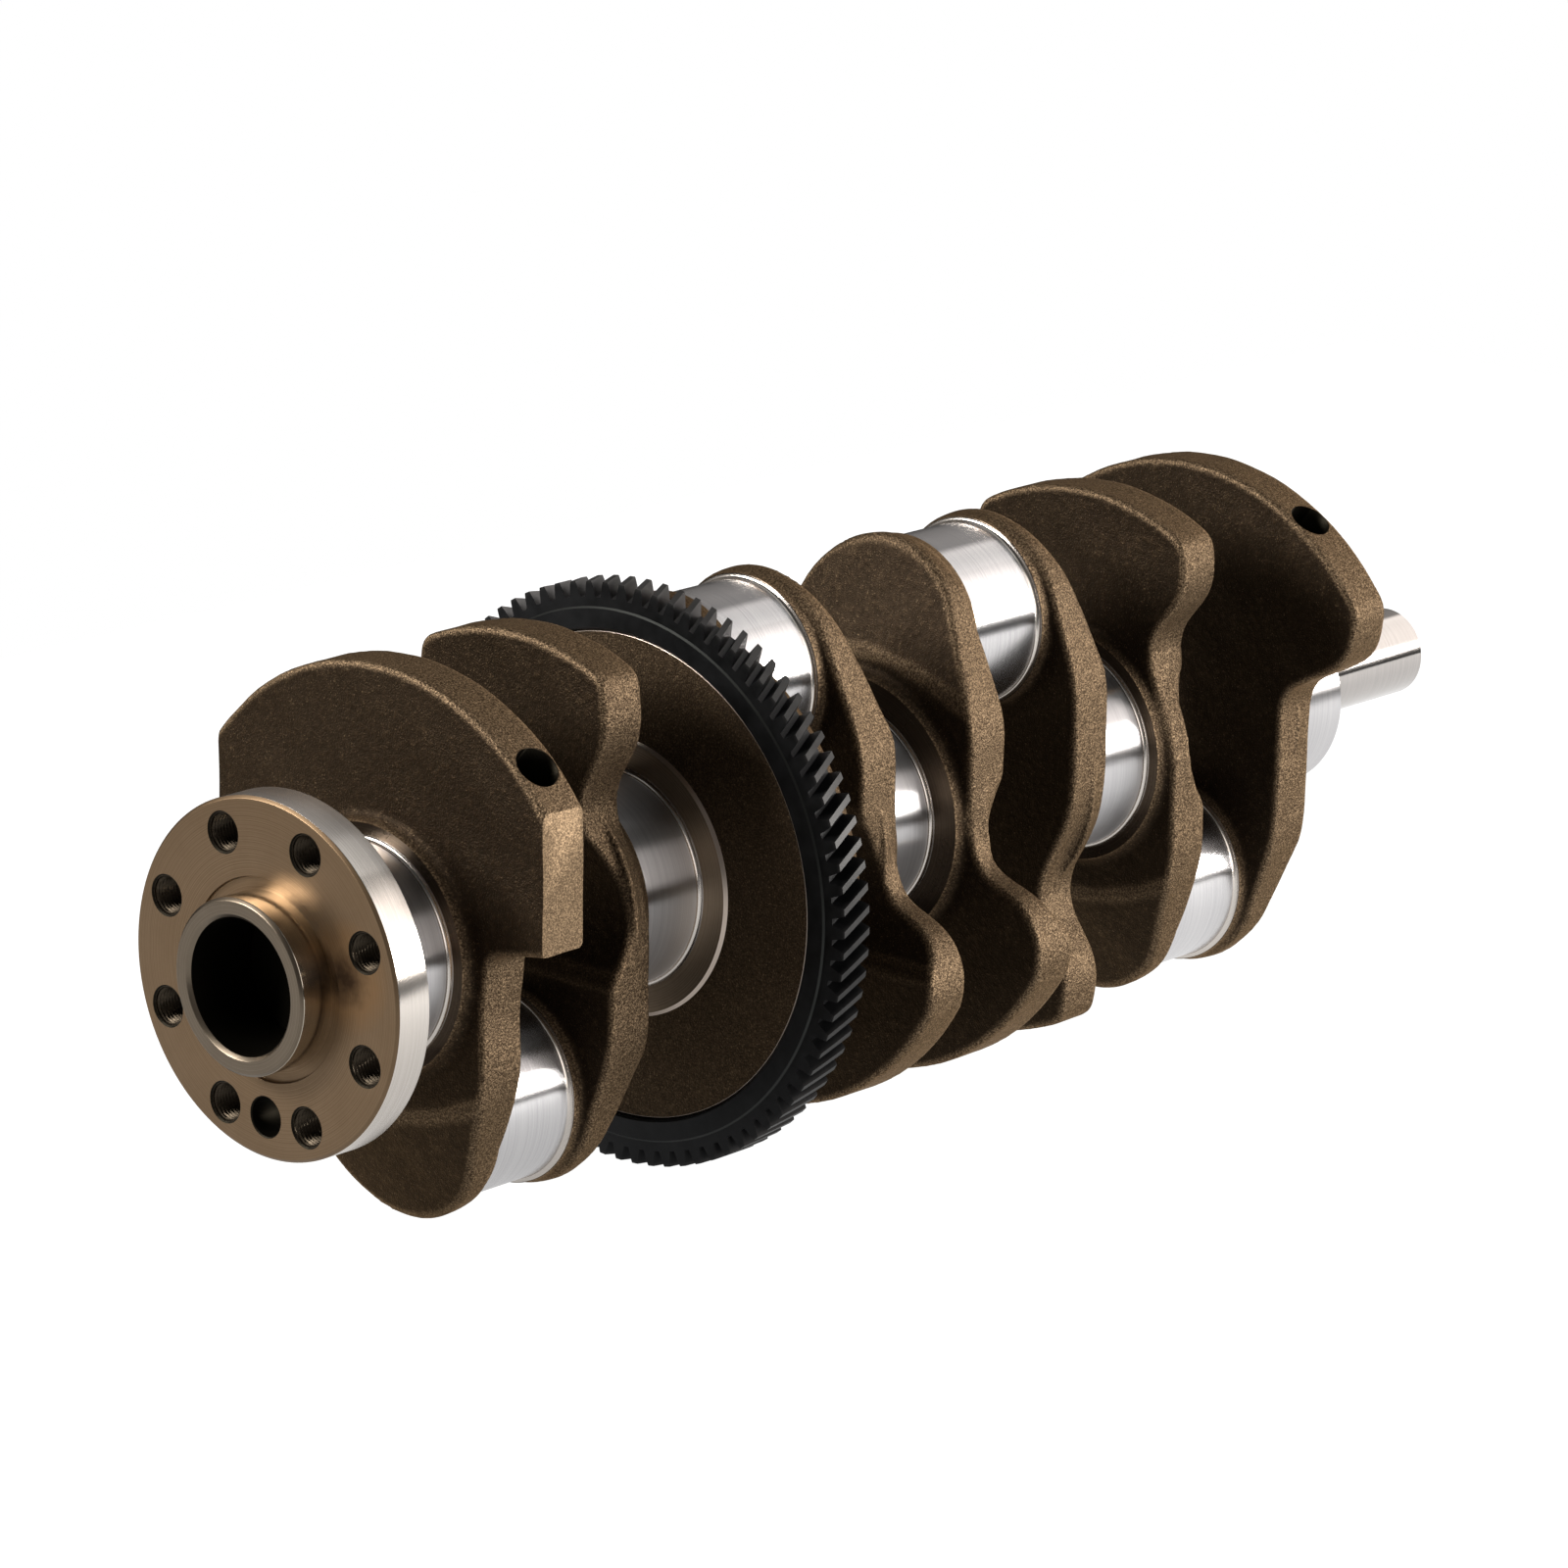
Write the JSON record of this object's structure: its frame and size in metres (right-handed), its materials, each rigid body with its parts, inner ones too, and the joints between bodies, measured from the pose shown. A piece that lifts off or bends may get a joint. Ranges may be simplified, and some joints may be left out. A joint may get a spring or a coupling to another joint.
{
  "type": "crankshaft",
  "caption": "In-line engine crankshaft with flywheel flange, counterweighted webs, polished journals and crankpins, a helical ring gear for balancer drive and a plain pulley nose.",
  "frame": {"origin": "on the main bearing axis, at the middle of the centre main journal (main journal 3)", "axes": "+X along the crank axis from the flywheel flange to the pulley nose, +Z towards crankpins 2 and 3, +Y completes the right-handed frame"},
  "size_m": [0.4625, 0.1532, 0.1532],
  "materials": {
    "forged_steel": "matte",
    "ground_steel": "polished",
    "turned_steel": "satin",
    "blackened_gear_steel": "satin"
  },
  "bodies": {
    "root": {"pilot_collar": "turned_steel", "flywheel_flange": "turned_steel", "main_journal_1": "ground_steel", "main_journal_2": "ground_steel", "main_journal_3": "ground_steel", "main_journal_4": "ground_steel", "main_journal_5": "ground_steel", "crankpin_1": "ground_steel", "crankpin_2": "ground_steel", "crankpin_3": "ground_steel", "crankpin_4": "ground_steel", "crank_web_1": "forged_steel", "crank_web_2": "forged_steel", "crank_web_3": "forged_steel", "crank_web_4": "forged_steel", "crank_web_5": "forged_steel", "crank_web_6_gear_disc": "forged_steel", "crank_web_7": "forged_steel", "crank_web_8": "forged_steel", "balancer_ring_gear": "blackened_gear_steel", "pulley_nose": "turned_steel"}
  },
  "joints": []
}
